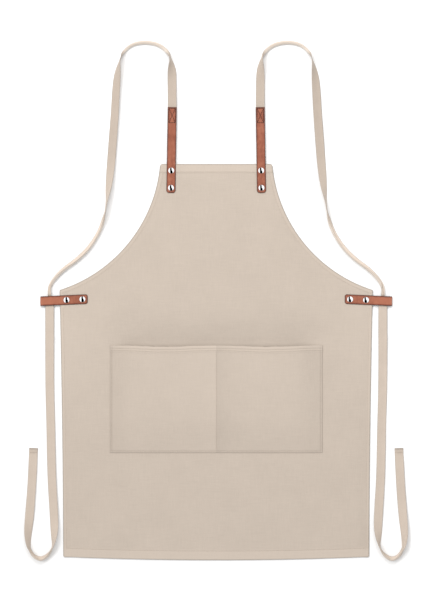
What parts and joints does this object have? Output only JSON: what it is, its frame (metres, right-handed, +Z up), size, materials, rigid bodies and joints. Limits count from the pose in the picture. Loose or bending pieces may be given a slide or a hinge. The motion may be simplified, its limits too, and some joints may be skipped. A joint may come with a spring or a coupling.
{
  "type": "cross-back apron",
  "caption": "Kitchen apron with a shaped bib, a divided front pocket, riveted leather shoulder tabs and side loops, and looped straps that run on as waist ties.",
  "frame": {"origin": "middle of the apron without its straps, on the surface that it lies on", "axes": "+Z up out of the front of the apron, +Y from the bottom hem to the bib, +X to the right when looking down on the front"},
  "size_m": [0.8442, 1.145, 0.0192],
  "materials": {
    "canvas": "plain woven cotton canvas",
    "tape": "folded canvas tape",
    "thread": "matte cotton thread",
    "brown_thread": "waxed thread",
    "tan_leather": "semi-matte, darker painted edges",
    "nickel": "polished nickel plate"
  },
  "bodies": {
    "apron": {"apron_panel": "canvas", "pocket_patch": "canvas", "bib_stitching": "thread", "bottom_stitching": "thread", "side_stitching": "thread", "armhole_stitching": "thread", "pocket_seam_stitching": "thread", "pocket_divider_stitching": "thread", "pocket_mouth_stitching": "thread", "left_shoulder_tab": "tan_leather", "left_side_loop": "tan_leather", "left_shoulder_rivet_caps": "nickel", "left_shoulder_rivet_posts": "nickel", "left_side_rivet_caps": "nickel", "left_side_rivet_posts": "nickel", "left_shoulder_strap": "tape", "left_tab_stitching": "brown_thread", "right_shoulder_tab": "tan_leather", "right_side_loop": "tan_leather", "right_shoulder_rivet_caps": "nickel", "right_shoulder_rivet_posts": "nickel", "right_side_rivet_caps": "nickel", "right_side_rivet_posts": "nickel", "right_shoulder_strap": "tape", "right_tab_stitching": "brown_thread"},
    "left_waist_tie": {"left_tie": "tape", "left_tie_end_stitching": "thread"},
    "right_waist_tie": {"right_tie": "tape", "right_tie_end_stitching": "thread"}
  },
  "joints": [
    {"name": "left_strap_slide", "type": "slide", "parent": "apron", "child": "left_waist_tie", "axis": [0, -1, 0], "range_m": [-0.05, 0.01], "deforming": ["left_shoulder_strap"]},
    {"name": "right_strap_slide", "type": "slide", "parent": "apron", "child": "right_waist_tie", "axis": [0, -1, 0], "range_m": [-0.05, 0.01], "deforming": ["right_shoulder_strap"]}
  ]
}
